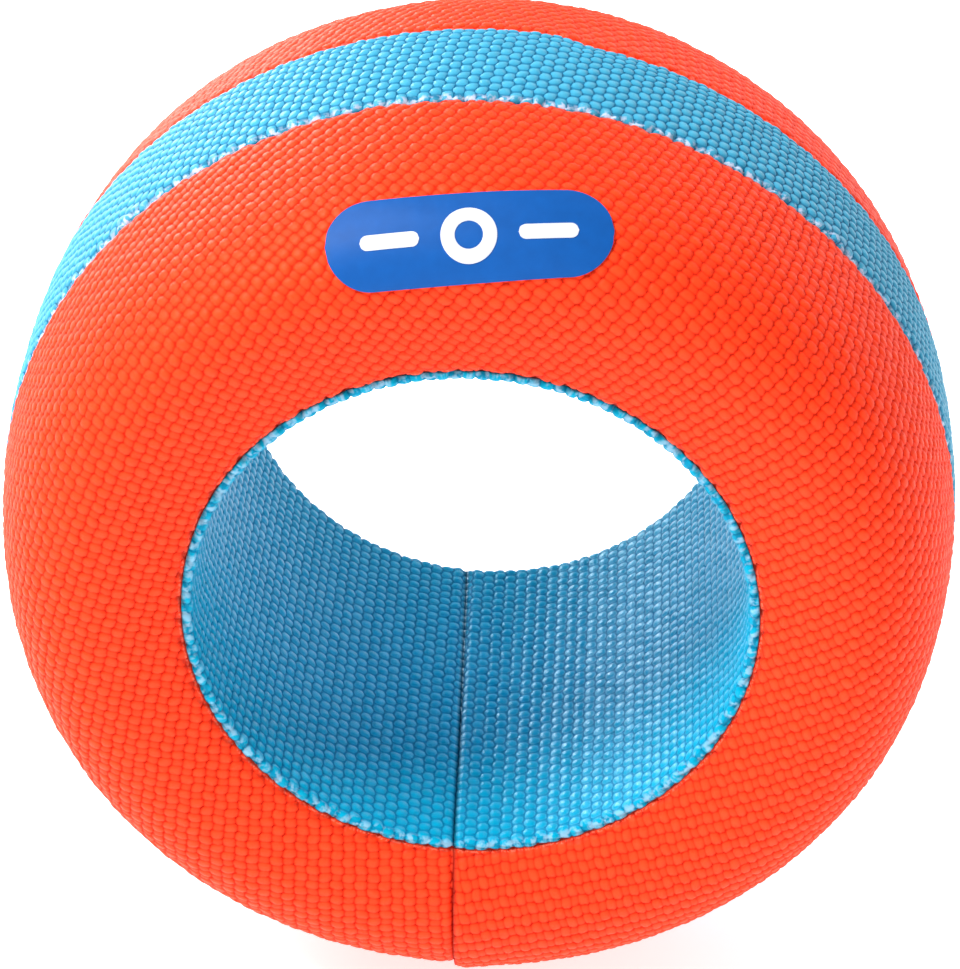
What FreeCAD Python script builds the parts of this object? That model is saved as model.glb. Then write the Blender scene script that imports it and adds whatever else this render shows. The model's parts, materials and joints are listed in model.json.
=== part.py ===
import FreeCAD, Part
import math
import os

from FreeCAD import Vector

os.makedirs("parts", exist_ok=True)

# A soft throwing ring: a fat foam ring sewn into four strips of coarse woven cloth.
# Its axis runs along Y with the middle of the bore at the origin. The front faces -Y,
# +Z is up, and the ring stands on the bottom of its tread. Lengths are in millimetres.
# Sections are drawn in the XY plane, with X as the distance from the ring's axis.

# Sizes of the whole ring, over the cloth
outer_radius = 75.0        # middle of the tread
tread_width = 25.2         # from one shoulder seam to the other
tread_crown = 0.4          # how much lower the tread's edges are than its middle
bore_radius = 42.0
rim_spacing = 80.0         # from the front rim seam to the rear one, along the axis
rim_roll = 1.6             # radius at which the liner rolls out of the bore
foot_depth = 0.45          # how far the foam gives where the ring stands

# How full the side panels are: the curve's direction and pull at each seam
rim_flare_deg = 22.0       # the panel swells out past the rim seam at this angle
rim_pull = 0.58            # share of the straight way between the panel's two seams
shoulder_lean_deg = 7.0    # the panel meets the tread at nearly its own direction
shoulder_pull = 0.65

# Cloth and sewing
cloth = 0.9                # thickness
turn_in = 6.0              # seam allowance, folded into the foam
closing_gap = 0.2          # between the two folded ends of each strip, at the bottom
thread_diameter = 0.5
thread_clearance = 0.03    # round a stitch, in the channel it pulls into the foam
stitch_pitch = 4.0
stitch_length = 3.0        # thread to be seen between two needle holes
stitch_depth = 3.0         # from the cloth's outside to the row of stitches

# Badge on the top of the front panel
badge_length = 41.0
badge_height = 13.0
badge_thickness = 0.4
badge_place = 0.5          # share of the way along the panel's curve, from the rim
emblem_thickness = 0.15
emblem_radius = 4.0
emblem_hole_radius = 2.0
emblem_bar_length = 8.5
emblem_bar_height = 2.2
emblem_bar_gap = 3.0       # between the emblem's ring and a bar

# Worked out from the sizes above
rim_radius = bore_radius + rim_roll
rim_y = rim_spacing / 2
shoulder_radius = outer_radius - tread_crown
shoulder_y = tread_width / 2
liner_flat_y = rim_y - rim_roll
channel = thread_diameter + 2 * thread_clearance
closing_channel = 2 * thread_diameter   # wider, because straight stitches follow a curve here
foot_z = -(outer_radius - foot_depth)

curve_stations = 14        # points that carry a panel's curve to another depth
join_overlap = cloth / 4   # how deep two pieces of one cloth share the same space
past_all = 3 * outer_radius   # farther out than any piece, for shapes that only cut
axis = Vector(0, 1, 0)
origin = Vector(0, 0, 0)
front = -1
rear = 1


def section_face(edges):
    return Part.Face(Part.Wire(Part.__sortEdges__(edges)))


def rectangle(near_radius, far_radius, y_one, y_two):
    low_y = min(y_one, y_two)
    corner = Vector(near_radius, low_y, 0)
    return Part.makePlane(far_radius - near_radius, abs(y_two - y_one), corner)


def panel_bezier(side):
    chord = math.hypot(shoulder_radius - rim_radius, rim_y - shoulder_y)
    flare = math.radians(rim_flare_deg)
    lean = math.radians(shoulder_lean_deg)
    rim_arm = rim_pull * chord
    shoulder_arm = shoulder_pull * chord
    curve = Part.BezierCurve()
    curve.setPoles([
        Vector(rim_radius, side * rim_y, 0),
        Vector(rim_radius + rim_arm * math.cos(flare), side * (rim_y + rim_arm * math.sin(flare)), 0),
        Vector(
            shoulder_radius - shoulder_arm * math.sin(lean),
            side * (shoulder_y + shoulder_arm * math.cos(lean)),
            0,
        ),
        Vector(shoulder_radius, side * shoulder_y, 0),
    ])
    return curve


def panel_normal(side, share):
    tangent = panel_bezier(side).tangent(share)[0]
    return Vector(-side * tangent.y, side * tangent.x, 0)


def panel_edge(side, depth):
    """A side panel's line from the rim seam to the shoulder seam, so deep below the cloth's outside."""
    curve = panel_bezier(side)
    if depth == 0:
        return curve.toShape()
    points = []
    for station in range(curve_stations + 1):
        share = station / curve_stations
        points.append(curve.value(share) - panel_normal(side, share) * depth)
    moved = Part.BSplineCurve()
    moved.interpolate(points)
    return moved.toShape()


def tread_edge(depth):
    low = Vector(shoulder_radius - depth, -shoulder_y, 0)
    middle = Vector(outer_radius - depth, 0, 0)
    high = Vector(shoulder_radius - depth, shoulder_y, 0)
    return Part.Arc(low, middle, high).toShape()


def roll_edge(side, depth):
    """The quarter turn that takes the liner from the bore's wall to the rim seam."""
    radius = rim_roll - depth
    slope = radius * math.sqrt(0.5)
    seam = Vector(rim_radius, side * (liner_flat_y + radius), 0)
    middle = Vector(rim_radius - slope, side * (liner_flat_y + slope), 0)
    wall = Vector(rim_radius - radius, side * liner_flat_y, 0)
    return Part.Arc(seam, middle, wall).toShape()


def bore_edge(depth):
    radius = bore_radius + depth
    return Part.makeLine(Vector(radius, -liner_flat_y, 0), Vector(radius, liner_flat_y, 0))


def between(outer_edges, inner_edges):
    """The strip between two open lines, closed by a straight line at each end."""
    outer = Part.Wire(Part.__sortEdges__(outer_edges))
    inner = Part.Wire(Part.__sortEdges__(inner_edges))
    edges = list(outer.Edges) + list(inner.Edges)
    for pick in (0, -1):
        tip = outer.OrderedVertexes[pick].Point
        ends = [inner.OrderedVertexes[0].Point, inner.OrderedVertexes[-1].Point]
        nearest = min(ends, key=tip.distanceToPoint)
        edges.append(Part.makeLine(tip, nearest))
    return section_face(edges)


def whole_section():
    edges = [tread_edge(0), bore_edge(0)]
    for side in (front, rear):
        edges.append(panel_edge(side, 0))
        edges.append(roll_edge(side, 0))
    return section_face(edges)


def one_face(faces):
    joined = faces[0].fuse(faces[1:]).removeSplitter()
    return max(joined.Faces, key=lambda face: face.Area)


def panel_section(side):
    skin = between([panel_edge(side, 0)], [panel_edge(side, cloth)])
    rim_fold = rectangle(rim_radius, rim_radius + cloth, side * rim_y, side * (rim_y - turn_in))
    shoulder_fold = rectangle(
        shoulder_radius - turn_in, shoulder_radius, side * shoulder_y, side * (shoulder_y + cloth)
    )
    own_side = rectangle(rim_radius, past_all, side * shoulder_y, side * past_all)
    skin = skin.common(own_side)
    shoulder_fold = shoulder_fold.common(whole_section())
    return one_face([skin, rim_fold, shoulder_fold])


def tread_section():
    skin = between([tread_edge(0)], [tread_edge(cloth)])
    folds = []
    for side in (front, rear):
        folds.append(rectangle(
            shoulder_radius - turn_in, shoulder_radius, side * shoulder_y, side * (shoulder_y - cloth)
        ))
    return one_face([skin] + folds)


def liner_section():
    outside = [roll_edge(front, 0), bore_edge(0), roll_edge(rear, 0)]
    inside = [roll_edge(front, cloth), bore_edge(cloth), roll_edge(rear, cloth)]
    skin = between(outside, inside)
    folds = []
    for side in (front, rear):
        folds.append(rectangle(
            rim_radius - cloth, rim_radius, side * (rim_y - cloth), side * (rim_y - turn_in)
        ))
    return one_face([skin] + folds)


def panel_end(side, near_depth, far_depth):
    """The part of a side panel's section, between two depths, that its closing seam may use."""
    band = between([panel_edge(side, near_depth)], [panel_edge(side, far_depth)])
    room = rectangle(rim_radius + cloth, past_all, side * (shoulder_y + cloth), side * past_all)
    return max(band.common(room).Faces, key=lambda face: face.Area)


def tread_end(near_depth, far_depth):
    reach = shoulder_y - cloth
    return rectangle(shoulder_radius - far_depth, shoulder_radius - near_depth, -reach, reach)


def liner_end(near_depth, far_depth):
    reach = rim_y - turn_in
    return rectangle(bore_radius + near_depth, bore_radius + far_depth, -reach, reach)


def closing_ends(near_depth, far_depth):
    return {
        "front_panel": panel_end(front, near_depth, far_depth),
        "rear_panel": panel_end(rear, near_depth, far_depth),
        "tread_band": tread_end(near_depth, far_depth),
        "bore_liner": liner_end(near_depth, far_depth),
    }


def at_bottom(face, near_x, far_x):
    """A section's face as a slab across the bottom of the ring, between two values of X."""
    turned = face.copy()
    turned.rotate(origin, axis, 90)
    turned.translate(Vector(near_x, 0, 0))
    return turned.extrude(Vector(far_x - near_x, 0, 0))


def all_round(face):
    return face.revolve(origin, axis, 360)


def cloth_strip(section, end_face):
    """One strip of cloth, bent into a ring, with its two ends folded into the foam at the bottom."""
    slot_corner = Vector(-closing_gap / 2, -past_all, -past_all)
    slot = Part.makeBox(closing_gap, 2 * past_all, past_all, slot_corner)
    strip = all_round(section).cut(slot)
    inside = closing_gap / 2
    ends = []
    for hand in (-1, 1):
        ends.append(at_bottom(end_face, hand * inside, hand * (inside + cloth)))
    return strip.fuse(ends).removeSplitter()


def standing_on_foot(shape):
    corner = Vector(-past_all, -past_all, foot_z - past_all)
    below = Part.makeBox(2 * past_all, 2 * past_all, past_all, corner)
    return shape.cut(below)


def rim_channel(side):
    middle = rim_y - stitch_depth
    near = rim_radius + cloth
    return rectangle(near, near + channel, side * (middle - channel / 2), side * (middle + channel / 2))


def shoulder_channel(side):
    middle = shoulder_radius - stitch_depth
    near = shoulder_y + cloth
    return rectangle(middle - channel / 2, middle + channel / 2, side * near, side * (near + channel))


def foam_core():
    section = whole_section()
    removed = [panel_section(front), panel_section(rear), tread_section(), liner_section()]
    for side in (front, rear):
        removed.append(rim_channel(side))
        removed.append(shoulder_channel(side))
    foam = section.cut(removed)
    core = all_round(max(foam.Faces, key=lambda face: face.Area))
    end_room = closing_gap / 2 + cloth
    slots = []
    for face in closing_ends(join_overlap, turn_in).values():
        slots.append(at_bottom(face, -end_room, end_room))
    near_depth = stitch_depth - closing_channel / 2
    far_depth = stitch_depth + closing_channel / 2
    for face in closing_ends(near_depth, far_depth).values():
        slots.append(at_bottom(face, end_room, end_room + channel))
    return core.cut(slots)


def stitch(middle, direction):
    """One run of thread between two needle holes."""
    start = middle - direction * (stitch_length / 2)
    return Part.makeCylinder(thread_diameter / 2, stitch_length, start, direction)


def seam_stitches(radius, y):
    """A row of stitches right round the ring, apart from the closing seam's place at the bottom."""
    count = int(2 * math.pi * radius / stitch_pitch)
    stitches = []
    for number in range(count):
        turn = 2 * math.pi * (number + 0.5) / count
        out = Vector(-math.sin(turn), 0, -math.cos(turn))
        along = Vector(math.cos(turn), 0, -math.sin(turn))
        middle = out * radius + Vector(0, y, 0)
        if out.z > 0 or abs(middle.x) > stitch_pitch:
            stitches.append(stitch(middle, along))
    return Part.makeCompound(stitches)


def rim_stitches(side):
    return seam_stitches(rim_radius + cloth + channel / 2, side * (rim_y - stitch_depth))


def shoulder_stitches(side):
    return seam_stitches(shoulder_radius - stitch_depth, side * (shoulder_y + cloth + channel / 2))


def closing_stitches():
    """The stitches of the seam that closes all four strips at the bottom of the ring."""
    x = closing_gap / 2 + cloth + channel / 2
    lines = [
        panel_edge(front, stitch_depth),
        panel_edge(rear, stitch_depth),
        Part.makeLine(
            Vector(shoulder_radius - stitch_depth, -shoulder_y, 0),
            Vector(shoulder_radius - stitch_depth, shoulder_y, 0),
        ),
        bore_edge(stitch_depth),
    ]
    faces = closing_ends(join_overlap, turn_in).values()
    stitches = []
    for line, face in zip(lines, faces):
        points = line.discretize(Distance=stitch_pitch)
        for start, end in zip(points[:-1], points[1:]):
            middle = (start + end) / 2
            direction = (end - start).normalize()
            tips = [middle - direction * (stitch_length / 2), middle + direction * (stitch_length / 2)]
            if all(face.isInside(tip, thread_clearance, True) for tip in tips):
                place = Vector(x, middle.y, -middle.x)
                stitches.append(stitch(place, Vector(0, direction.y, -direction.x)))
    return Part.makeCompound(stitches)


def rounded_bar(length, height, middle_x):
    """A flat bar with round ends, drawn round a point on the X axis."""
    radius = height / 2
    reach = length / 2 - radius
    left = middle_x - reach
    right = middle_x + reach
    return section_face([
        Part.makeLine(Vector(left, radius, 0), Vector(right, radius, 0)),
        Part.Arc(Vector(right, radius, 0), Vector(right + radius, 0, 0), Vector(right, -radius, 0)).toShape(),
        Part.makeLine(Vector(right, -radius, 0), Vector(left, -radius, 0)),
        Part.Arc(Vector(left, -radius, 0), Vector(left - radius, 0, 0), Vector(left, radius, 0)).toShape(),
    ])


def emblem_shapes():
    disc = Part.Face(Part.Wire(Part.makeCircle(emblem_radius)))
    hole = Part.Face(Part.Wire(Part.makeCircle(emblem_hole_radius)))
    bar_middle = emblem_radius + emblem_bar_gap + emblem_bar_length / 2
    return [
        disc.cut(hole).Faces[0],
        rounded_bar(emblem_bar_length, emblem_bar_height, -bar_middle),
        rounded_bar(emblem_bar_length, emblem_bar_height, bar_middle),
    ]


def on_front_panel(face, near, far):
    """A flat shape laid on the front panel as a film that fills the space between two heights."""
    place = panel_bezier(front).value(badge_place)
    normal = panel_normal(front, badge_place)
    slope = math.degrees(math.atan2(normal.x, -normal.y))
    depth = badge_height
    prism = face.copy()
    prism.translate(Vector(0, 0, -depth))
    prism = prism.extrude(Vector(0, 0, 2 * depth))
    prism.rotate(origin, Vector(1, 0, 0), 90 - slope)
    prism.translate(Vector(0, place.y, place.x))
    film = all_round(between([panel_edge(front, -far)], [panel_edge(front, -near)]))
    return film.common(prism)


def badge_backing():
    return on_front_panel(rounded_bar(badge_length, badge_height, 0), 0, badge_thickness)


def badge_emblem():
    top = badge_thickness + emblem_thickness
    return Part.makeCompound([on_front_panel(face, badge_thickness, top) for face in emblem_shapes()])


def main():
    ends = closing_ends(join_overlap, turn_in)
    nodes = {
        "foam_core": foam_core(),
        "front_panel": cloth_strip(panel_section(front), ends["front_panel"]),
        "rear_panel": cloth_strip(panel_section(rear), ends["rear_panel"]),
        "tread_band": standing_on_foot(cloth_strip(tread_section(), ends["tread_band"])),
        "bore_liner": cloth_strip(liner_section(), ends["bore_liner"]),
        "front_rim_stitches": rim_stitches(front),
        "rear_rim_stitches": rim_stitches(rear),
        "front_shoulder_stitches": shoulder_stitches(front),
        "rear_shoulder_stitches": shoulder_stitches(rear),
        "closing_seam_stitches": closing_stitches(),
        "badge_backing": badge_backing(),
        "badge_emblem": badge_emblem(),
    }
    for name, shape in nodes.items():
        shape.exportStep("parts/" + name + ".step")


main()
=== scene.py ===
import json
import math

import bpy
import numpy as np
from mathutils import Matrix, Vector


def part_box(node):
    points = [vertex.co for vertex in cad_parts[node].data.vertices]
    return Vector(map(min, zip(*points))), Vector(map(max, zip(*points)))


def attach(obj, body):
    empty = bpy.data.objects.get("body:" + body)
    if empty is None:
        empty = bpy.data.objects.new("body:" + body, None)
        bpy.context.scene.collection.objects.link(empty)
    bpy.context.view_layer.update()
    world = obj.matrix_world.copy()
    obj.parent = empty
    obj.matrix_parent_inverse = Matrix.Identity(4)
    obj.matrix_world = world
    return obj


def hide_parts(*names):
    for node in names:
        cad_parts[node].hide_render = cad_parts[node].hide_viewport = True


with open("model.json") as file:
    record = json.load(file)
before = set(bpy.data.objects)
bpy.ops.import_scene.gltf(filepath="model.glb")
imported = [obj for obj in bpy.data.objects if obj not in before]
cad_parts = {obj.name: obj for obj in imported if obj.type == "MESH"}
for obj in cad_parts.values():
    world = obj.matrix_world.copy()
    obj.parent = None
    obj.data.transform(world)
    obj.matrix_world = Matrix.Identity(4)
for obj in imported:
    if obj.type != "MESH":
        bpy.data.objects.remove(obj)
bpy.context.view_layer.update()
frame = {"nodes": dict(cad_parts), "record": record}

# A soft throwing ring: a foam ring sewn into four strips of coarse woven nylon.
# Its axis runs along Y, the front faces -Y and the ring stands on its tread.
# "turn" is the angle round the axis from the top, positive towards +X.

mm = 0.001

boreMount = next(mount for mount in frame["record"]["mounts"] if mount["name"] == "bore")
panelLow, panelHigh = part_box("front_panel")
treadLow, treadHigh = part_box("tread_band")
linerLow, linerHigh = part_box("bore_liner")
boreRadius = boreMount["dims"]["r_mm"] * mm
treadRadius = treadHigh.z            # middle of the tread
treadHalf = treadHigh.y              # half the tread's width
shoulderRadius = panelHigh.z
rimRadius = linerHigh.z
rimHalf = linerHigh.y                # from the middle plane to a rim seam
footZ = treadLow.z

ringShape = {
    "rimFlareDeg": 22.0,             # how the side panels swell out of the rim seam
    "rimPull": 0.58,                 # share of the straight way between the panel's two seams
    "shoulderLeanDeg": 7.0,          # how they arrive at the shoulder seam
    "shoulderPull": 0.65,
    "clothThickness": 0.9 * mm,
    "clearOfLiner": 0.1 * mm,        # between the lining's inside and the foam
    "flange": 3.6 * mm,              # the turned-in edge, as far as it is drawn
    "hair": 0.03 * mm,               # left between two cloths that are sewn together
    "treadInside": 1.3 * mm,         # how deep the tread's inner skin lies
    "rowSpacing": 0.36 * mm,         # fine enough to carry the floats of the weave
    "seamX": -2.5 * mm,              # the closing seam lies just left of the lowest point
    "seamSlant": 1.5 * mm,           # and runs a little askew along the lining
}

print("ring sizes in mm:", [round(size / mm, 2) for size in (
    boreRadius, rimRadius, shoulderRadius, treadRadius, rimHalf)])


def fromHex(code):
    channels = [int(code[i:i + 2], 16) / 255 for i in (0, 2, 4)]
    linear = [c / 12.92 if c <= 0.04045 else ((c + 0.055) / 1.055) ** 2.4 for c in channels]
    return (*linear, 1.0)


def addNode(tree, kind, settings=None, inputs=None):
    node = tree.nodes.new(kind)
    for name, value in (settings or {}).items():
        setattr(node, name, value)
    for name, value in (inputs or {}).items():
        if isinstance(value, bpy.types.NodeSocket):
            tree.links.new(value, node.inputs[name])
        else:
            node.inputs[name].default_value = value
    return node


def startMaterial(name):
    material = bpy.data.materials.new(name)
    material.use_nodes = True
    tree = material.node_tree
    tree.nodes.clear()
    output = addNode(tree, "ShaderNodeOutputMaterial")
    shader = addNode(tree, "ShaderNodeBsdfPrincipled")
    tree.links.new(shader.outputs["BSDF"], output.inputs["Surface"])
    return material, tree, shader


def deselectAll():
    if bpy.context.object and bpy.context.object.mode == "EDIT":
        bpy.ops.object.mode_set(mode="OBJECT")
    bpy.ops.object.select_all(action="DESELECT")


def readPoints(mesh):
    flat = np.empty(len(mesh.vertices) * 3, np.float32)
    mesh.vertices.foreach_get("co", flat)
    return flat.reshape(-1, 3).astype(float)


def writePoints(mesh, points):
    mesh.vertices.foreach_set("co", points.astype(np.float32).ravel())
    mesh.update()


def writeAttribute(mesh, name, values):
    attribute = mesh.attributes.new(name, "FLOAT", "POINT")
    attribute.data.foreach_set("value", values.astype(np.float32))


def closeShell(piece, merge):
    # weld the edges that meet and turn every face outwards
    deselectAll()
    piece.select_set(True)
    bpy.context.view_layer.objects.active = piece
    bpy.ops.object.mode_set(mode="EDIT")
    bpy.ops.mesh.select_all(action="SELECT")
    bpy.ops.mesh.remove_doubles(threshold=merge)
    bpy.ops.mesh.normals_make_consistent(inside=False)
    bpy.ops.object.mode_set(mode="OBJECT")
    bpy.ops.object.shade_smooth()


def softNoise(seed, count, low, high):
    # a few waves round the ring, which meet themselves after one turn
    rng = np.random.default_rng(seed)
    waves = rng.integers(low, high, count)
    phases = rng.uniform(0, 2 * np.pi, count)
    sizes = rng.uniform(0.4, 1.0, count)
    sizes = sizes / sizes.sum()

    def at(turn):
        total = np.zeros_like(turn)
        for wave, phase, size in zip(waves, phases, sizes):
            total += size * np.sin(wave * turn + phase)
        return total
    return at


cameraSetup = {
    "azimuthDeg": 2.48,
    "elevationDeg": 32.47,
    "distance": 594.9 * mm,
    "across": -0.15 * mm,
    "up": -0.56 * mm,
    "lens": 138.3,
    "sensorWidth": 36.0,
    "near": 0.01,
    "far": 20.0,
}

azimuth = math.radians(cameraSetup["azimuthDeg"])
elevation = math.radians(cameraSetup["elevationDeg"])
back = Vector((
    math.sin(azimuth) * math.cos(elevation),
    -math.cos(azimuth) * math.cos(elevation),
    math.sin(elevation)))
right = (-back).cross(Vector((0, 0, 1))).normalized()
up = right.cross(-back).normalized()
cameraData = bpy.data.cameras.new("camera")
cameraData.lens = cameraSetup["lens"]
cameraData.sensor_width = cameraSetup["sensorWidth"]
cameraData.clip_start = cameraSetup["near"]
cameraData.clip_end = cameraSetup["far"]
camera = bpy.data.objects.new("camera", cameraData)
camera.location = (back * cameraSetup["distance"]
                   + right * cameraSetup["across"] + up * cameraSetup["up"])
camera.rotation_euler = back.to_track_quat("Z", "Y").to_euler()
bpy.context.scene.collection.objects.link(camera)
bpy.context.scene.camera = camera

studio = {
    "worldStrength": 0.36,
    "worldColour": "FFFFFF",
    "floorSize": 6.0,
    "floorGlow": 0.68,               # a lit table: keeps shadows faint
    # name: place in metres, size, watts, colour
    "lights": {
        "keySoftbox": ((-0.55, -0.20, 0.86), 0.42, 14.5, "FFFDF8"),
        "fillSoftbox": ((0.30, -0.95, 0.35), 0.60, 1.6, "F6FAFF"),
        "backSoftbox": ((-0.46, 0.76, 0.24), 0.32, 5.5, "FFFFFF"),
        "backRightPanel": ((0.44, 0.72, 0.34), 0.80, 2.6, "FFFFFF"),
    },
}

scene = bpy.context.scene
scene.view_settings.view_transform = "Standard"
world = bpy.data.worlds.new("studio")
world.use_nodes = True
world.node_tree.nodes["Background"].inputs["Color"].default_value = fromHex(studio["worldColour"])
world.node_tree.nodes["Background"].inputs["Strength"].default_value = studio["worldStrength"]
scene.world = world

for name, (place, size, watts, colour) in studio["lights"].items():
    lightData = bpy.data.lights.new(name, "AREA")
    lightData.shape = "DISK"
    lightData.size = size
    lightData.energy = watts
    lightData.color = fromHex(colour)[:3]
    light = bpy.data.objects.new(name, lightData)
    light.location = place
    light.rotation_euler = Vector(place).to_track_quat("Z", "Y").to_euler()
    scene.collection.objects.link(light)

deselectAll()
bpy.ops.mesh.primitive_plane_add(size=studio["floorSize"], location=(0, 0, footZ))
floor = bpy.context.object
floor.name = "floor"
# matt paper, faintly uneven: it takes only the softest contact shadow
floorMaterial, floorTree, floorShader = startMaterial("matt white paper")
floorCoordinates = addNode(floorTree, "ShaderNodeTexCoord")
floorNoise = addNode(floorTree, "ShaderNodeTexNoise", inputs={
    "Vector": floorCoordinates.outputs["Object"], "Scale": 3.0})
floorRamp = addNode(floorTree, "ShaderNodeValToRGB", inputs={"Fac": floorNoise.outputs["Fac"]})
floorRamp.color_ramp.elements[0].color = fromHex("F4F4F4")
floorRamp.color_ramp.elements[1].color = fromHex("F8F8F8")
floorTree.links.new(floorRamp.outputs["Color"], floorShader.inputs["Base Color"])
floorShader.inputs["Roughness"].default_value = 0.9
floorShader.inputs["Emission Color"].default_value = fromHex("FFFFFF")
floorShader.inputs["Emission Strength"].default_value = studio["floorGlow"]
floor.data.materials.append(floorMaterial)
print("camera, light and floor are set")


# The section of the ring is drawn as lines of (radius, y).
def bezier(corners, share):
    share = share[:, None]
    rest = 1 - share
    a, b, c, d = [np.array(corner) for corner in corners]
    return a * rest ** 3 + 3 * b * share * rest ** 2 + 3 * c * share ** 2 * rest + d * share ** 3


def resample(points, spacing):
    lengths = np.r_[0, np.cumsum(np.hypot(*np.diff(points, axis=0).T))]
    count = max(2, int(round(lengths[-1] / spacing)))
    at = np.linspace(0, lengths[-1], count + 1)
    even = np.stack([np.interp(at, lengths, points[:, 0]), np.interp(at, lengths, points[:, 1])], 1)
    return even, at


def normalsOf(points, hand):
    along = np.gradient(points, axis=0)
    along /= np.hypot(along[:, 0], along[:, 1])[:, None]
    return np.stack([-along[:, 1], along[:, 0]], 1) * hand


def panelLine(side):
    chord = math.hypot(shoulderRadius - rimRadius, rimHalf - treadHalf)
    flare = math.radians(ringShape["rimFlareDeg"])
    lean = math.radians(ringShape["shoulderLeanDeg"])
    rimArm = ringShape["rimPull"] * chord
    shoulderArm = ringShape["shoulderPull"] * chord
    corners = [
        (rimRadius, side * rimHalf),
        (rimRadius + rimArm * math.cos(flare), side * (rimHalf + rimArm * math.sin(flare))),
        (shoulderRadius - shoulderArm * math.sin(lean), side * (treadHalf + shoulderArm * math.cos(lean))),
        (shoulderRadius, side * treadHalf),
    ]
    return bezier(corners, np.linspace(0, 1, 600))


def treadLine():
    y = np.linspace(-treadHalf, treadHalf, 200)
    radius = treadRadius - (treadRadius - shoulderRadius) * (y / treadHalf) ** 2
    return np.stack([radius, y], 1)


def linerLine():
    roll = rimRadius - boreRadius
    flat = rimHalf - roll
    quarter = np.linspace(0, math.pi / 2, 20)
    first = np.stack([rimRadius - roll * np.sin(quarter), -flat - roll * np.cos(quarter)], 1)
    middle = np.stack([np.full(200, boreRadius), np.linspace(-flat, flat, 200)], 1)
    last = np.stack([rimRadius - roll * np.cos(quarter), flat + roll * np.sin(quarter)], 1)
    return np.concatenate([first, middle[1:-1], last])


def sectionLoop(line, hand, backPath):
    outer, at = resample(line, ringShape["rowSpacing"])
    normals = normalsOf(outer, hand)
    return outer, normals, at, np.array(backPath)


settling = {
    "rearTopDrop": 1.2 * mm,         # the rear of the ring is filled a little less at its top
    "rearDraw": 1.6 * mm,            # and its lining is drawn in along the axis
    "foldInSpan": 15 * mm,
    "seamStep": 1.8 * mm,            # the rear shoulder seam was sewn farther in over part of the way
    "seamStepReach": 7 * mm,
    "seamStepDeg": (9.0, 105.0),     # from and to
}


def smoothShare(value):
    share = np.clip(value, 0, 1)
    return share * share * (3 - 2 * share)


def settle(radius, y, turn):
    # how the finished ring has slumped, the same for the cloth and the foam
    rear = smoothShare((y - 0.4 * treadHalf) / settling["foldInSpan"])
    full = smoothShare((radius - rimRadius) / settling["foldInSpan"])
    top = np.clip(np.cos(turn), 0, 1) ** 2
    draw = smoothShare((y - rimHalf / 2) / (rimHalf / 2)) * (1 - 0.7 * full)
    stepFrom, stepTo = [math.radians(angle) for angle in settling["seamStepDeg"]]
    step = smoothShare((turn - stepFrom) / 0.06) * (1 - smoothShare((turn - stepTo) / 0.5)) * full
    step = step * np.exp(-((y - treadHalf) / settling["seamStepReach"]) ** 2)
    return (radius - settling["rearTopDrop"] * rear * full * top,
            y - settling["rearDraw"] * draw - settling["seamStep"] * step)


def bumpsOf(weave):
    # floats of the upper yarn, then the lower ones of the yarn that crosses it: place, half size, height
    repeat, rows = weave["repeatAcross"], weave["repeatAlong"]
    high = (weave["floatAcross"] / 2, weave["floatAlong"] / 2, 1.0)
    low = (weave["gapAcross"] / 2, weave["gapAlong"] / 2, weave["gapHeight"])
    return [(0.0, 0.0, *high), (repeat / 2, rows / 2, *high), (repeat / 2, 0.0, *low), (0.0, rows / 2, *low)]


def pillow(p, q, weave):
    # 0 in the creases, 1 at the crown of a float
    repeat, rows = weave["repeatAcross"], weave["repeatAlong"]
    crown = np.zeros_like(p)
    for atP, atQ, halfP, halfQ, height in bumpsOf(weave):
        dp = (p - atP + repeat / 2) % repeat - repeat / 2
        dq = (q - atQ + rows / 2) % rows - rows / 2
        edge = (np.abs(dp) / halfP) ** weave["squareness"] + (np.abs(dq) / halfQ) ** weave["squareness"]
        crown = np.maximum(crown, height * np.sqrt(np.clip(1 - edge, 0, 1)))
    return crown


def wander(p, q, weave):
    # yarns are never quite straight: each float sits a little off its place, and some stand higher
    size = weave["wander"]
    movedP = p + size * mm * np.sin(1.7 * q / mm + 0.9 * np.sin(0.61 * p / mm))
    movedQ = q + 0.8 * size * mm * np.sin(1.3 * p / mm + 1.1 * np.sin(0.53 * q / mm))
    swell = 1 + 1.4 * size * np.sin(0.93 * p / mm + 1.3 * np.sin(0.71 * q / mm))
    return movedP, movedQ, swell


closingSeam = {
    "wallDepths": (3.0 * mm, 2.0 * mm, 1.1 * mm),   # how deep each folded end goes, from its tip
    "wallLean": 0.3,
    "grooveDepth": 0.45 * mm,
    "grooveReach": 0.7 * mm,
    "lapHeight": 0.9 * mm,           # the end that laps over stands a little proud
    "lapReach": 9 * mm,
}


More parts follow.
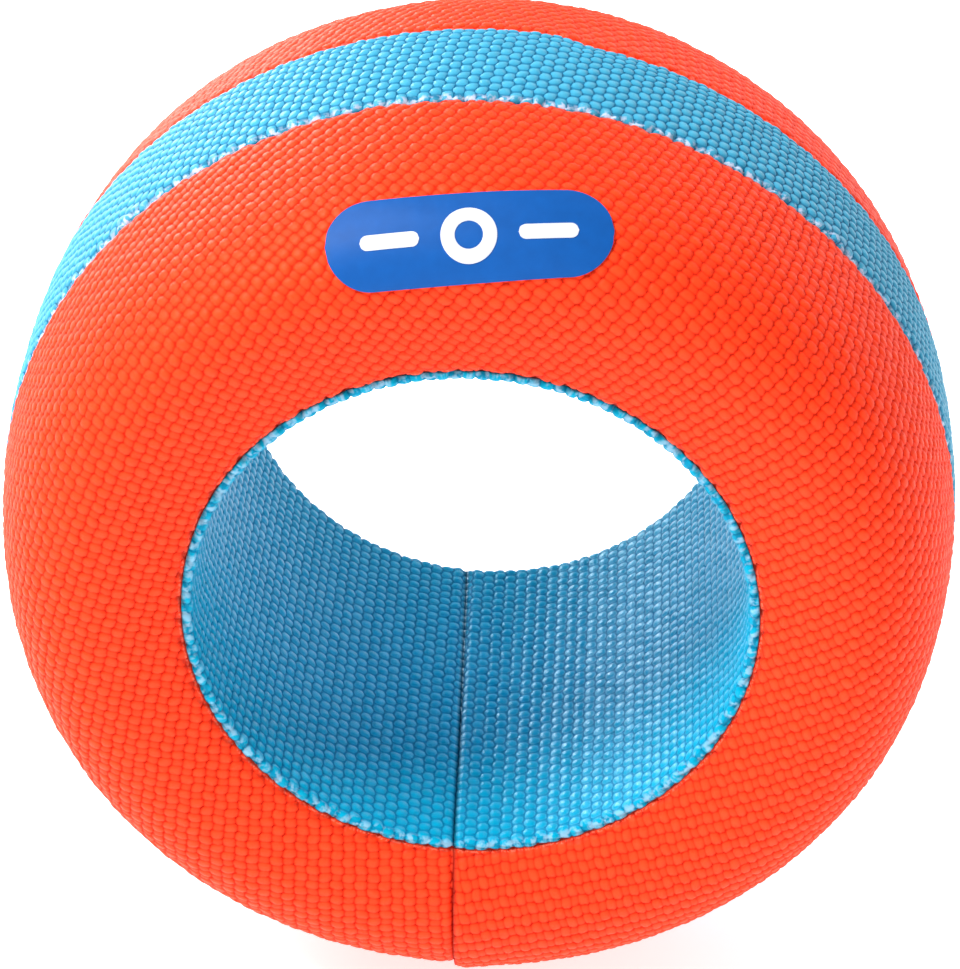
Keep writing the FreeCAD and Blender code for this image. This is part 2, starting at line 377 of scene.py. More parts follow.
def clothStrip(name, loop, clothPlace, weave, soft, columns, seamTurn):
    # a flat sheet, bent round the ring and sewn into a closed skin
    outer, normals, at, backPath = loop
    rowCount = len(outer) + len(backPath)
    wallDepths = closingSeam["wallDepths"]
    deselectAll()
    bpy.ops.mesh.primitive_grid_add(x_subdivisions=columns, y_subdivisions=rowCount, size=2)
    piece = bpy.context.object
    piece.name = name
    piece.data.name = name
    flat = readPoints(piece.data)
    column = np.rint((flat[:, 0] + 1) / 2 * columns).astype(int)
    row = np.rint((flat[:, 1] + 1) / 2 * rowCount).astype(int) % rowCount

    walls = len(wallDepths)
    # the folded end walls share the seam's place, and the other columns are spaced evenly
    share = np.clip((column - walls) / (columns - 2 * walls), 0, 1)
    allRadius = np.concatenate([outer[:, 0], backPath[:, 0]])
    allY = np.concatenate([outer[:, 1], backPath[:, 1]])
    isOuter = row < len(outer)
    outerRow = np.clip(row, 0, len(outer) - 1)
    radius, y = allRadius[row], allY[row]
    normalR = np.where(isOuter, normals[outerRow, 0], 0)
    normalY = np.where(isOuter, normals[outerRow, 1], 0)
    s = at[outerRow]
    start = seamTurn(radius, y) - 2 * np.pi
    turn = start + share * 2 * np.pi
    # distance along the cloth from each end of the strip
    fromStart = share * 2 * np.pi * radius
    fromEnd = (1 - share) * 2 * np.pi * radius
    wallStep = np.zeros(len(flat))
    wall = np.minimum(column, columns - column)
    for number, depth in enumerate(wallDepths):
        wallStep[wall == number] = depth

    p, q, swell = wander(*clothPlace(s, turn, y), weave)
    height = pillow(p / mm, q / mm, weave)
    edgeNear = np.minimum(s, at[-1] - s)
    seamNear = np.minimum(fromStart, fromEnd)
    info = {"s": s, "length": at[-1], "turn": turn, "radius": radius, "edgeNear": edgeNear, "fromEnd": fromEnd}
    change, notch, frayed = soft(info)
    groove = closingSeam["grooveDepth"] * np.exp(-(seamNear / closingSeam["grooveReach"]) ** 2)
    relief = (height * swell - 1) * weave["relief"]
    lift = np.where(isOuter, relief + change - groove - wallStep, 0)
    radius = radius + normalR * lift
    y = y + normalY * lift
    away = 1 if weave["facesAxis"] else -1
    radius = radius + away * closingSeam["wallLean"] * np.where(isOuter, 0, wallStep)
    radius, y = settle(radius, y, turn)
    points = np.stack([radius * np.sin(turn), y, radius * np.cos(turn)], 1)
    if not weave["facesAxis"]:
        points[:, 2] = np.maximum(points[:, 2], footZ)
    writePoints(piece.data, points)

    writeAttribute(piece.data, "edgeNear", np.where(isOuter, edgeNear / mm, 0))
    writeAttribute(piece.data, "seamNear", np.where(isOuter & (wallStep == 0), seamNear / mm, 0))
    writeAttribute(piece.data, "notch", np.where(isOuter, notch, 0))
    writeAttribute(piece.data, "frayed", np.where(isOuter, frayed, 0))
    uv = piece.data.uv_layers[0]
    uv.name = "clothMap"
    loops = np.empty(len(piece.data.loops), np.int32)
    piece.data.loops.foreach_get("vertex_index", loops)
    both = np.stack([p[loops] / mm, q[loops] / mm], 1).astype(np.float32)
    uv.data.foreach_set("uv", both.ravel())
    closeShell(piece, 1e-7)
    print(name, len(piece.data.polygons), "faces")
    return piece


def wovenCloth(name, weave, colours, shine):
    material, tree, shader = startMaterial(name)
    cloth = addNode(tree, "ShaderNodeUVMap", {"uv_map": "clothMap"}).outputs["UV"]
    repeat, rows = weave["repeatAcross"], weave["repeatAlong"]

    # the same floats as in the mesh, so that colour and shine follow each one
    crown = 0.0
    for atP, atQ, halfP, halfQ, height in bumpsOf(weave):
        moved = addNode(tree, "ShaderNodeVectorMath", {"operation": "SUBTRACT"}, {0: cloth, 1: (atP, atQ, 0.0)})
        wrapped = addNode(tree, "ShaderNodeVectorMath", {"operation": "WRAP"}, {
            0: moved.outputs["Vector"], 1: (repeat / 2, rows / 2, 1.0), 2: (-repeat / 2, -rows / 2, -1.0)})
        size = addNode(tree, "ShaderNodeVectorMath", {"operation": "ABSOLUTE"}, {0: wrapped.outputs["Vector"]})
        share = addNode(tree, "ShaderNodeVectorMath", {"operation": "DIVIDE"}, {
            0: size.outputs["Vector"], 1: (halfP, halfQ, 1.0)})
        split = addNode(tree, "ShaderNodeSeparateXYZ", inputs={"Vector": share.outputs["Vector"]})
        across = addNode(tree, "ShaderNodeMath", {"operation": "POWER"}, {
            0: split.outputs["X"], 1: weave["squareness"]})
        along = addNode(tree, "ShaderNodeMath", {"operation": "POWER"}, {
            0: split.outputs["Y"], 1: weave["squareness"]})
        edge = addNode(tree, "ShaderNodeMath", {"operation": "ADD"}, {
            0: across.outputs[0], 1: along.outputs[0]})
        rest = addNode(tree, "ShaderNodeMath", {"operation": "SUBTRACT", "use_clamp": True}, {
            0: 1.0, 1: edge.outputs[0]})
        root = addNode(tree, "ShaderNodeMath", {"operation": "SQRT"}, {0: rest.outputs[0]})
        rise = addNode(tree, "ShaderNodeMath", {"operation": "MULTIPLY"}, {0: root.outputs[0], 1: height})
        crown = addNode(tree, "ShaderNodeMath", {"operation": "MAXIMUM"}, {
            0: rise.outputs[0], 1: crown}).outputs[0]

    # filaments run along each float
    stretch = addNode(tree, "ShaderNodeVectorMath", {"operation": "MULTIPLY"}, {
        0: cloth, 1: (shine["filamentAcross"], shine["filamentAlong"], 0.0)})
    filaments = addNode(tree, "ShaderNodeTexNoise", inputs={
        "Vector": stretch.outputs["Vector"], "Scale": 1.0, "Detail": 2.0, "Roughness": 0.6}).outputs["Fac"]
    # the dye takes a little differently from float to float
    patch = addNode(tree, "ShaderNodeTexNoise", inputs={"Vector": cloth, "Scale": 0.35, "Detail": 1.0})
    # the colour runs from each float's crown down to a darker one in the creases: painted shade between the
    # floats
    ramp = addNode(tree, "ShaderNodeValToRGB", inputs={"Fac": crown})
    ramp.color_ramp.elements[0].color = fromHex(colours["creaseShade"])
    ramp.color_ramp.elements[1].color = fromHex(colours["crown"])
    ramp.color_ramp.elements.new(0.45).color = fromHex(colours["side"])
    tone = addNode(tree, "ShaderNodeMapRange", inputs={
        "Value": filaments, "From Min": 0.3, "From Max": 0.7,
        "To Min": 1 - shine["toneSpread"], "To Max": 1 + shine["toneSpread"]})
    patchTone = addNode(tree, "ShaderNodeMapRange", inputs={
        "Value": patch.outputs["Fac"], "From Min": 0.3, "From Max": 0.7, "To Min": 0.95, "To Max": 1.05})
    bothTones = addNode(tree, "ShaderNodeMath", {"operation": "MULTIPLY"}, {
        0: tone.outputs[0], 1: patchTone.outputs[0]})
    colour = addNode(tree, "ShaderNodeVectorMath", {"operation": "SCALE"}, {
        0: ramp.outputs["Color"], "Scale": bothTones.outputs[0]}).outputs["Vector"]

    fromEdge = addNode(tree, "ShaderNodeAttribute", {"attribute_name": "edgeNear"}).outputs["Fac"]
    # pale flecks along the sewn edges, partly worn broken filaments and partly a painted highlight where the
    # folded edge catches the light; and worn filaments where an edge has frayed
    paleWearAndGlintNoise = addNode(tree, "ShaderNodeTexNoise", inputs={
        "Vector": cloth, "Scale": colours["paleWearAndGlintScale"], "Detail": 2.0})
    paleWearAndGlint = addNode(tree, "ShaderNodeMapRange", inputs={
        "Value": paleWearAndGlintNoise.outputs["Fac"], "From Min": 0.46, "From Max": 0.58, "To Min": 0.0, "To Max": 1.0})
    edgeWearAndGlintBand = addNode(tree, "ShaderNodeMapRange", inputs={
        "Value": fromEdge, "From Min": 0.5 * colours["edgeWearAndGlintReach"], "From Max": colours["edgeWearAndGlintReach"],
        "To Min": 1.0, "To Max": 0.0})
    frayed = addNode(tree, "ShaderNodeAttribute", {"attribute_name": "frayed"})
    where = addNode(tree, "ShaderNodeMath", {"operation": "MAXIMUM"}, {
        0: edgeWearAndGlintBand.outputs[0], 1: frayed.outputs["Fac"]})
    paleWearAndGlintMask = addNode(tree, "ShaderNodeMath", {"operation": "MULTIPLY"}, {
        0: paleWearAndGlint.outputs[0], 1: where.outputs[0]})
    paleWearAndGlintAmount = addNode(tree, "ShaderNodeMath", {"operation": "MULTIPLY"}, {
        0: paleWearAndGlintMask.outputs[0], 1: colours["paleWearAndGlintShare"]})
    withWearAndGlint = addNode(tree, "ShaderNodeMix", {"data_type": "RGBA"}, {
        "Factor": paleWearAndGlintAmount.outputs[0], 6: colour, 7: fromHex(colours["paleWearAndGlint"])})

    # painted shade: the sewn lines, the closing seam and the notch at each stitch are painted darker, in the
    # grooves where the thread has drawn the cloth in
    notch = addNode(tree, "ShaderNodeAttribute", {"attribute_name": "notch"})
    notchPaintedShade = addNode(tree, "ShaderNodeMath", {"operation": "MULTIPLY"}, {0: notch.outputs["Fac"], 1: 0.6})
    closing = addNode(tree, "ShaderNodeAttribute", {"attribute_name": "seamNear"})
    closingSeamPaintedShade = addNode(tree, "ShaderNodeMapRange", inputs={
        "Value": closing.outputs["Fac"], "From Min": 0.1, "From Max": 0.6, "To Min": 0.7, "To Max": 0.0})
    edgePaintedShade = addNode(tree, "ShaderNodeMapRange", inputs={
        "Value": fromEdge, "From Min": 0.05, "From Max": 0.35, "To Min": 0.3, "To Max": 0.0})
    seamLinePaintedShade = addNode(tree, "ShaderNodeMath", {"operation": "MAXIMUM"}, {
        0: closingSeamPaintedShade.outputs[0], 1: edgePaintedShade.outputs[0]})
    paintedSeamShade = addNode(tree, "ShaderNodeMath", {"operation": "MAXIMUM"}, {
        0: notchPaintedShade.outputs[0], 1: seamLinePaintedShade.outputs[0]})
    shade = addNode(tree, "ShaderNodeMix", {"data_type": "RGBA"}, {
        "Factor": paintedSeamShade.outputs[0], 6: withWearAndGlint.outputs[2], 7: fromHex(colours["seamShade"])})
    tree.links.new(shade.outputs[2], shader.inputs["Base Color"])

    rough = addNode(tree, "ShaderNodeMapRange", inputs={
        "Value": crown, "From Min": 0.0, "From Max": 1.0,
        "To Min": shine["gapRoughness"], "To Max": shine["crownRoughness"]})
    tree.links.new(rough.outputs[0], shader.inputs["Roughness"])
    fine = addNode(tree, "ShaderNodeMath", {"operation": "MULTIPLY"}, {0: filaments, 1: shine["filamentBump"]})
    heights = addNode(tree, "ShaderNodeMath", {"operation": "MULTIPLY_ADD"}, {
        0: crown, 1: shine["creaseBump"], 2: fine.outputs[0]})
    bump = addNode(tree, "ShaderNodeBump", inputs={
        "Height": heights.outputs[0], "Strength": 1.0, "Distance": mm})
    tree.links.new(bump.outputs["Normal"], shader.inputs["Normal"])
    shader.inputs["Specular IOR Level"].default_value = shine["specular"]
    shader.inputs["Specular Tint"].default_value = fromHex(shine["tint"])
    # painted glow: the cloth gives light of its own colour whatever the lamps, standing in for the fluorescent
    # dye
    shader.inputs["Emission Color"].default_value = fromHex(shine["paintedGlowColour"])
    shader.inputs["Emission Strength"].default_value = shine["paintedGlow"]
    return material


# A weave's repeat, its upper floats and the lower ones that cross them are in mm.
# Side panels: ballistic nylon cut on the bias, floats of about two millimetres.
# Woven floats with low, soft crowns: matt, and bright, with a painted glow standing in for the fluorescent dye.
orangeWeave = {
    "repeatAcross": 3.70, "repeatAlong": 2.64,
    "floatAcross": 2.02, "floatAlong": 1.62, "squareness": 3.0, "wander": 0.12,
    "gapAcross": 1.66, "gapAlong": 1.24, "gapHeight": 0.78,
    "relief": 0.36 * mm, "facesAxis": False,
    "grainDeg": 52.0, "fanOut": 0.77, "flatRadius": 56.6 * mm,
}
orangeColours = {"crown": "FF441A", "side": "FF3208", "creaseShade": "D42206", "seamShade": "5A0C10",
                 "paleWearAndGlint": "FF9C80", "paleWearAndGlintScale": 2.6, "edgeWearAndGlintReach": 0.5, "paleWearAndGlintShare": 0.4}
orangeShine = {"filamentAlong": 7.0, "filamentAcross": 0.9, "toneSpread": 0.04, "gapRoughness": 0.8,
               "crownRoughness": 0.50, "creaseBump": 0.10, "filamentBump": 0.06, "specular": 0.30,
               "tint": "FFD8C0", "paintedGlowColour": "FF1400", "paintedGlow": 0.10}

# Lining: the same yarn dyed blue, with a small bright glint on each float.
blueWeave = {
    "repeatAcross": 3.72, "repeatAlong": 2.20,
    "floatAcross": 1.84, "floatAlong": 1.86, "squareness": 2.8, "wander": 0.10,
    "gapAcross": 1.62, "gapAlong": 0.80, "gapHeight": 0.25,
    "relief": 0.42 * mm, "facesAxis": True,
}
linerColours = {"crown": "00A8CE", "side": "009CC4", "creaseShade": "007CA6", "seamShade": "04182C",
                "paleWearAndGlint": "ACD4EC", "paleWearAndGlintScale": 0.9, "edgeWearAndGlintReach": 2.6, "paleWearAndGlintShare": 0.6}
blueShine = {"filamentAlong": 8.0, "filamentAcross": 0.9, "toneSpread": 0.06, "gapRoughness": 0.7,
             "crownRoughness": 0.30, "creaseBump": 0.10, "filamentBump": 0.04, "specular": 0.36,
             "tint": "60D4FF", "paintedGlowColour": "0090C0", "paintedGlow": 0.0}

# Tread: blue webbing, paler and more matt than the lining, with painted shade in the creases between its
# floats.
treadWeave = {
    "repeatAcross": 3.40, "repeatAlong": 2.30,
    "floatAcross": 1.82, "floatAlong": 1.90, "squareness": 2.8, "wander": 0.12,
    "gapAcross": 1.40, "gapAlong": 0.80, "gapHeight": 0.25,
    "relief": 0.38 * mm, "facesAxis": False, "skewDeg": 6.0,
}
treadColours = {"crown": "46AACE", "side": "3296C0", "creaseShade": "0C6088", "seamShade": "0A2A44",
                "paleWearAndGlint": "D4DCF6", "paleWearAndGlintScale": 1.1, "edgeWearAndGlintReach": 1.3, "paleWearAndGlintShare": 0.8}
treadShine = {"filamentAlong": 8.0, "filamentAcross": 0.9, "toneSpread": 0.06, "gapRoughness": 0.75,
              "crownRoughness": 0.42, "creaseBump": 0.10, "filamentBump": 0.03, "specular": 0.26,
              "tint": "C8ECFF", "paintedGlowColour": "0090C0", "paintedGlow": 0.0}

stitchPull = {
    "pitch": 4.0 * mm,
    "depth": 0.35 * mm,              # of the notch at each stitch
    "notchLength": 0.7 * mm,
    "notchReach": 1.0 * mm,
    "seamDepth": 0.5 * mm,           # of the groove along the whole seam
    "seamReach": 0.9 * mm,
}


def seamPull(info, seed):
    # how the thread draws an edge in: a groove, with a deeper notch at each stitch
    wobble = softNoise(seed, 6, 11, 47)(info["turn"])
    groove = np.exp(-(info["edgeNear"] / stitchPull["seamReach"]) ** 2)
    along = (info["turn"] * info["radius"] / stitchPull["pitch"] + 0.15 * wobble) % 1.0 - 0.5
    notch = np.exp(-(along * stitchPull["pitch"] / stitchPull["notchLength"]) ** 2)
    notch = notch * np.exp(-(info["edgeNear"] / stitchPull["notchReach"]) ** 2)
    depth = stitchPull["seamDepth"] * (1 + 0.3 * wobble) * groove + stitchPull["depth"] * notch
    return -depth, notch


fraying = {
    "turnsDeg": (-45.0, 45.7),
    "length": 2.4 * mm,
    "depth": 1.9 * mm,
    "height": 0.8 * mm,
}


def frayedAt(info):
    # two short lengths of the tread's front edge where the turned-in cloth has come loose
    total = np.zeros_like(info["turn"])
    for place in fraying["turnsDeg"]:
        along = (info["turn"] - math.radians(place)) * info["radius"]
        total += np.exp(-(along / fraying["length"]) ** 2 - (info["s"] / fraying["depth"]) ** 2)
    return total


def panelPlace(side):
    grain = math.radians(orangeWeave["grainDeg"])

    def place(s, turn, y):
        rho = orangeWeave["flatRadius"] + s
        psi = orangeWeave["fanOut"] * turn
        u, v = rho * np.sin(psi) * side, rho * np.cos(psi)
        return u * math.sin(grain) - v * math.cos(grain), u * math.cos(grain) + v * math.sin(grain)
    return place


def linerPlace(s, turn, y):
    return turn * boreRadius, y + 0 * turn


def treadPlace(s, turn, y):
    skew = math.radians(treadWeave["skewDeg"])
    return turn * treadRadius - y * math.tan(skew), y + 0 * turn


def bottomSeam(radius, y):
    return np.pi + np.arcsin(-ringShape["seamX"] / radius)


def linerSeam(radius, y):
    x = -ringShape["seamX"] + ringShape["seamSlant"] * (y + rimHalf) / (2 * rimHalf)
    return np.pi + np.arcsin(x / radius)


def panelSoft(side, seed):
    swell = softNoise(seed, 7, 2, 9)
    dents = softNoise(seed + 1, 9, 5, 23)

    def soft(info):
        share = info["s"] / info["length"]
        belly = np.sin(np.pi * np.clip(share, 0, 1))
        lift = belly * (0.22 * mm * swell(info["turn"]) + 0.10 * mm * dents(info["turn"] + 2.5 * share))
        if side < 0:
            lift += (closingSeam["lapHeight"] * np.exp(-info["fromEnd"] / closingSeam["lapReach"])
                     * np.minimum(belly * 2, 1))
        pull, notch = seamPull(info, seed + 2)
        return lift + 0.15 * mm * belly + pull, notch, 0 * notch
    return soft


def treadSoft(info):
    share = info["s"] / info["length"]
    belly = np.sin(np.pi * np.clip(share, 0, 1))
    pull, notch = seamPull(info, 33)
    frayed = frayedAt(info)
    tufts = softNoise(35, 5, 150, 330)(info["turn"] + 0.4 * share)
    lift = 0.12 * mm * belly * softNoise(31, 7, 3, 19)(info["turn"])
    lift = lift + fraying["height"] * frayed * (0.5 + tufts)
    return lift + pull, notch * (1 - frayed), frayed


def linerSoft(info):
    share = info["s"] / info["length"]
    belly = np.sin(np.pi * np.clip(share, 0, 1))
    pull, notch = seamPull(info, 43)
    return -0.15 * mm * belly * (1 + softNoise(41, 7, 3, 13)(info["turn"])) + pull, notch, 0 * notch


# The back paths close each strip's section behind its face, from one turned-in edge to the other.
cloth, flange, hair = ringShape["clothThickness"], ringShape["flange"], ringShape["hair"]


def panelBack(side):
    line = panelLine(side)
    normals = normalsOf(line, side)
    inner = line - normals * cloth
    keep = [int(f * (len(line) - 1)) for f in (0.94, 0.85, 0.72, 0.58, 0.44, 0.3, 0.16, 0.06)]
    points = [(shoulderRadius - f * flange, side * (treadHalf + hair)) for f in (0.35, 0.7, 1.0)]
    points += [(shoulderRadius - f * flange, side * (treadHalf + cloth)) for f in (1.0, 0.6)]
    points += [tuple(inner[k]) for k in keep]
    points += [(rimRadius + cloth, side * (rimHalf - f * flange)) for f in (0.6, 1.0)]
    points += [(rimRadius + hair, side * (rimHalf - f * flange)) for f in (1.0, 0.7, 0.35)]
    return points


def treadBack():
    points = []
    for side in (1, -1):
        out = [(shoulderRadius - f * flange, side * (treadHalf - hair)) for f in (0.35, 0.7, 1.0)]
        out += [(shoulderRadius - f * flange, side * (treadHalf - cloth)) for f in (1.0, 0.6)]
        points += out if side > 0 else out[::-1]
        if side > 0:
            points += [(treadRadius - ringShape["treadInside"], y * mm) for y in (10, 5, 0, -5, -10)]
    return points


def linerBack():
    inner = boreRadius + cloth + ringShape["clearOfLiner"]
    points = [(rimRadius - hair, rimHalf - f * flange) for f in (0.35, 0.7, 1.0)]
    points += [(inner, y * mm) for y in (35, 25, 15, 5, -5, -15, -25, -35)]
    points += [(rimRadius - hair, -rimHalf + f * flange) for f in (1.0, 0.7, 0.35)]
    return points


panelColumns, treadColumns, linerColumns = [
    int(2 * math.pi * widest / ringShape["rowSpacing"]) for widest in (shoulderRadius, treadRadius, boreRadius)]
frontPanel = clothStrip("front_side_panel", sectionLoop(panelLine(-1), -1, panelBack(-1)),
                        panelPlace(1), orangeWeave, panelSoft(-1, 11), panelColumns, bottomSeam)
rearPanel = clothStrip("rear_side_panel", sectionLoop(panelLine(1), 1, panelBack(1)),
                       panelPlace(-1), orangeWeave, panelSoft(1, 21), panelColumns, bottomSeam)
treadBand = clothStrip("tread_strip", sectionLoop(treadLine(), -1, treadBack()),
                       treadPlace, treadWeave, treadSoft, treadColumns, bottomSeam)
boreLiner = clothStrip("bore_lining", sectionLoop(linerLine(), 1, linerBack()),
                       linerPlace, blueWeave, linerSoft, linerColumns, linerSeam)

orangeCloth = wovenCloth("ballistic nylon orange", orangeWeave, orangeColours, orangeShine)
linerCloth = wovenCloth("ballistic nylon blue lining", blueWeave, linerColours, blueShine)
treadCloth = wovenCloth("ballistic nylon blue tread", treadWeave, treadColours, treadShine)
for piece, material, node, slot in (
        (frontPanel, orangeCloth, "front_panel", "orange_cloth"),
        (rearPanel, orangeCloth, "rear_panel", "orange_cloth"),
        (treadBand, treadCloth, "tread_band", "blue_cloth"),
        (boreLiner, linerCloth, "bore_liner", "blue_cloth")):
    piece.data.materials.clear()
    piece.data.materials.append(material)
    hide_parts(node)
    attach(piece, "root")
print("cloth strips are sewn")

foam = {
    "inset": 2.2 * mm,               # under the cloth's face
    "columns": 180,
    "rows": 72,
    "cell": 1.4 * mm,                # coarser than real foam, so that it shows
    "cellDepth": 0.3 * mm,
    "colour": "F2EFE6",
    "shade": "D8D2C2",
}


def foamLine():
    # the cloth's inside, all the way round the section
    parts = []
    for line in (panelLine(-1), treadLine(), panelLine(1)[::-1], linerLine()[::-1]):
        parts.append(line + normalsOf(line, -1) * -foam["inset"])
    ring = np.concatenate(parts)
    low, high = boreRadius + foam["inset"], shoulderRadius - foam["inset"]
    keep = (ring[:, 0] >= low - 1e-9) & (np.abs(ring[:, 1]) <= rimHalf + 3 * mm)
    return ring[keep]


deselectAll()
bpy.ops.mesh.primitive_grid_add(x_subdivisions=foam["columns"], y_subdivisions=foam["rows"], size=2)
foamRing = bpy.context.object
foamRing.name = "foam_ring"
foamRing.data.name = "foam_ring"
flat = readPoints(foamRing.data)
foamSection = foamLine()
foamSection = np.concatenate([foamSection, foamSection[:1]])
lengths = np.r_[0, np.cumsum(np.hypot(*np.diff(foamSection, axis=0).T))]
along = (flat[:, 1] + 1) / 2 * lengths[-1]
radius, y = np.interp(along, lengths, foamSection[:, 0]), np.interp(along, lengths, foamSection[:, 1])
turn = (flat[:, 0] + 1) * np.pi
radius, y = settle(radius, y, turn)
writePoints(foamRing.data, np.stack([radius * np.sin(turn), y, radius * np.cos(turn)], 1))
closeShell(foamRing, 1e-6)

# open-cell foam: chalky and pitted, with no shine
foamMaterial, tree, shader = startMaterial("open-cell polyurethane foam")
place = addNode(tree, "ShaderNodeTexCoord")
cells = addNode(tree, "ShaderNodeTexVoronoi", inputs={
    "Vector": place.outputs["Object"], "Scale": 1 / foam["cell"]})
ramp = addNode(tree, "ShaderNodeValToRGB", inputs={"Fac": cells.outputs["Distance"]})
ramp.color_ramp.elements[0].color = fromHex(foam["shade"])
ramp.color_ramp.elements[1].color = fromHex(foam["colour"])
tree.links.new(ramp.outputs["Color"], shader.inputs["Base Color"])
bump = addNode(tree, "ShaderNodeBump", inputs={
    "Height": cells.outputs["Distance"], "Strength": 0.6, "Distance": foam["cellDepth"]})
tree.links.new(bump.outputs["Normal"], shader.inputs["Normal"])
shader.inputs["Roughness"].default_value = 0.95
foamRing.data.materials.append(foamMaterial)
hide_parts("foam_core")
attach(foamRing, "root")


# The badge is a pressed film on the front panel, with a plain ring and two bars.
badge = {
    "length": 41.0 * mm, "height": 13.0 * mm, "film": 0.30 * mm, "emblemFilm": 0.14 * mm,
    "tiltDeg": 5.0,
    "sunk": 0.04 * mm,               # into the cloth's crowns
    "emblemSunk": 0.03 * mm,         # the white film into the blue one
    "ringRadius": 4.0 * mm, "ringHole": 2.0 * mm,
    "barLength": 8.5 * mm, "barHeight": 2.2 * mm, "barGap": 3.0 * mm,
    "mottle": 2.2 * mm, "mottleDepth": 0.12 * mm,
    "blue": "0058AC", "blueShade": "004C98", "white": "DADEE8", "whiteShade": "CFD4E2",
}
panelCurve, panelAt = resample(panelLine(-1), 0.1 * mm)
panelOut = normalsOf(panelCurve, -1)
frontSoft = panelSoft(-1, 11)


def overPanel(s, turn, height):
    info = {"s": s, "length": panelAt[-1], "turn": turn, "radius": np.interp(s, panelAt, panelCurve[:, 0]),
            "edgeNear": np.minimum(s, panelAt[-1] - s), "fromEnd": np.full_like(s, 1.0)}
    lift = frontSoft(info)[0] + height
    radius = info["radius"] + np.interp(s, panelAt, panelOut[:, 0]) * lift
    y = np.interp(s, panelAt, panelCurve[:, 1]) + np.interp(s, panelAt, panelOut[:, 1]) * lift
    return radius, y


badgePoint = panelLine(-1)[300]      # half way along the curve, as on the CAD badge
badgeMiddle = float(panelAt[np.argmin(np.hypot(*(panelCurve - badgePoint).T))])


def onPanel(across, upward, height):
    # each point of the flat film goes straight in to the panel, along its slope at the badge
    tilt = math.radians(badge["tiltDeg"])
    across, upward = (across * math.cos(tilt) - upward * math.sin(tilt),
                      across * math.sin(tilt) + upward * math.cos(tilt))
    stations = np.linspace(0.2, 0.8, 240) * panelAt[-1]
    slopeR, slopeY = [np.interp(badgeMiddle, panelAt, np.gradient(panelCurve[:, k], panelAt)) for k in (0, 1)]
    middleR, middleY = [np.interp(badgeMiddle, panelAt, panelCurve[:, k]) for k in (0, 1)]
    s = np.empty_like(across)
    curveR, curveY = [np.interp(stations, panelAt, panelCurve[:, k]) for k in (0, 1)]
    for number, (x, wanted) in enumerate(zip(across, upward)):
        rise = (np.sqrt(curveR ** 2 - x * x) - middleR) * slopeR + (curveY - middleY) * slopeY
        s[number] = np.interp(wanted, rise, stations)
    turn = np.arcsin(across / np.interp(s, panelAt, panelCurve[:, 0]))
    radius, y = overPanel(s, turn, height)
    return np.stack([radius * np.sin(turn), y, radius * np.cos(turn)], 1)


def filmPiece(name, shapes, height, thickness):
    # each shape turns the points of a flat square into a flat outline
    made = []
    for shape, columns, rows in shapes:
        deselectAll()
        bpy.ops.mesh.primitive_grid_add(x_subdivisions=columns, y_subdivisions=rows, size=2)
        part = bpy.context.object
        flat = readPoints(part.data)
        across, upward = shape(flat[:, 0], flat[:, 1])
        writePoints(part.data, onPanel(across, upward, height + thickness))
        closeShell(part, 0.02 * mm)
        made.append(part)
    deselectAll()
    for part in made:
        part.select_set(True)
    bpy.context.view_layer.objects.active = made[0]
    if len(made) > 1:
        bpy.ops.object.join()
    film = bpy.context.object
    film.name = name
    film.data.name = name
    bpy.ops.object.mode_set(mode="EDIT")
    bpy.ops.mesh.select_all(action="SELECT")
    bpy.ops.mesh.normals_make_consistent(inside=False)
    bpy.ops.object.mode_set(mode="OBJECT")
    if sum(polygon.normal.y * polygon.area for polygon in film.data.polygons) > 0:
        film.data.flip_normals()
    solid = film.modifiers.new("thickness", "SOLIDIFY")
    solid.thickness = thickness
    solid.offset = -1
    bpy.ops.object.modifier_apply(modifier=solid.name)
    edgeRound = film.modifiers.new("edge", "BEVEL")
    edgeRound.width = thickness * 0.3
    edgeRound.segments = 2
    edgeRound.limit_method = "ANGLE"
    edgeRound.angle_limit = math.radians(50)
    bpy.ops.object.modifier_apply(modifier=edgeRound.name)
    bpy.ops.object.shade_smooth_by_angle(angle=math.radians(40))
    return film


def capsule(length, height, middle):
    reach = length / 2 - height / 2

    def shape(u, v):
        across = u * length / 2
        past = np.clip(np.abs(across) - reach, 0, height / 2)
        half = np.sqrt(np.maximum((height / 2) ** 2 - past ** 2, 0))
        return across + middle, v * half
    return shape


def ringOutline(outer, hole):
    def shape(u, v):
        angle = (u + 1) * np.pi
        radius = hole + (v + 1) / 2 * (outer - hole)
        return radius * np.cos(angle), radius * np.sin(angle)
    return shape


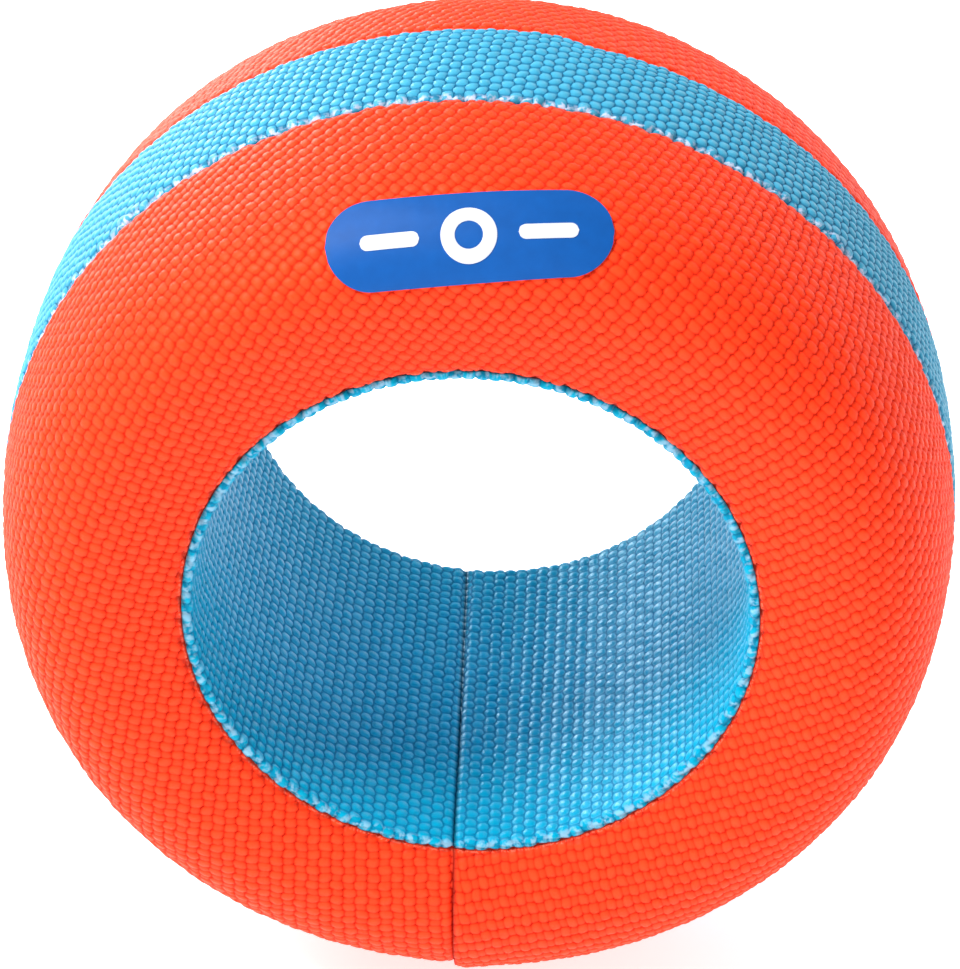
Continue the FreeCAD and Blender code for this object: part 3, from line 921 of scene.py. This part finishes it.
def filmMaterial(name, colour, shade):
    # urethane film pressed on hot: an even colour, satin, with the cloth just felt through it
    material, tree, shader = startMaterial(name)
    place = addNode(tree, "ShaderNodeTexCoord")
    mottle = addNode(tree, "ShaderNodeTexNoise", inputs={
        "Vector": place.outputs["Object"], "Scale": 1 / badge["mottle"], "Detail": 2.0})
    ramp = addNode(tree, "ShaderNodeValToRGB", inputs={"Fac": mottle.outputs["Fac"]})
    ramp.color_ramp.elements[0].color = fromHex(shade)
    ramp.color_ramp.elements[1].color = fromHex(colour)
    tree.links.new(ramp.outputs["Color"], shader.inputs["Base Color"])
    bump = addNode(tree, "ShaderNodeBump", inputs={
        "Height": mottle.outputs["Fac"], "Strength": 0.35, "Distance": badge["mottleDepth"]})
    tree.links.new(bump.outputs["Normal"], shader.inputs["Normal"])
    shader.inputs["Roughness"].default_value = 0.55
    shader.inputs["Specular IOR Level"].default_value = 0.22
    return material


backing = filmPiece("badge_film", [(capsule(badge["length"], badge["height"], 0), 120, 36)],
                    -badge["sunk"], badge["film"])
barMiddle = badge["ringRadius"] + badge["barGap"] + badge["barLength"] / 2
emblem = filmPiece("badge_emblem_film", [
    (ringOutline(badge["ringRadius"], badge["ringHole"]), 72, 5),
    (capsule(badge["barLength"], badge["barHeight"], -barMiddle), 40, 10),
    (capsule(badge["barLength"], badge["barHeight"], barMiddle), 40, 10),
], badge["film"] - badge["sunk"] - badge["emblemSunk"], badge["emblemFilm"])
for piece, node, slot, colour in (
        (backing, "badge_backing", "badge_film", "blue"),
        (emblem, "badge_emblem", "emblem_film", "white")):
    piece.data.materials.clear()
    piece.data.materials.append(filmMaterial(
        "heat-pressed urethane film " + colour, badge[colour], badge[colour + "Shade"]))
    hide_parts(node)
    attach(piece, "root")
print("foam and badge are in place")


# twisted nylon thread, dark and faintly banded where it can be seen between the folded edges
threadTwist = 0.6 * mm
threadMaterial, tree, shader = startMaterial("bonded nylon thread navy")
place = addNode(tree, "ShaderNodeTexCoord")
twist = addNode(tree, "ShaderNodeTexWave", inputs={
    "Vector": place.outputs["Object"], "Scale": 1 / threadTwist, "Distortion": 2.0})
ramp = addNode(tree, "ShaderNodeValToRGB", inputs={"Fac": twist.outputs["Fac"]})
ramp.color_ramp.elements[0].color = fromHex("141C34")
ramp.color_ramp.elements[1].color = fromHex("26345A")
tree.links.new(ramp.outputs["Color"], shader.inputs["Base Color"])
shader.inputs["Roughness"].default_value = 0.5
for name in ("front_rim_stitches", "rear_rim_stitches", "front_shoulder_stitches",
             "rear_shoulder_stitches", "closing_seam_stitches"):
    stitches = frame["nodes"][name]
    for number in range(len(stitches.data.materials)):
        stitches.material_slots[number].material = threadMaterial
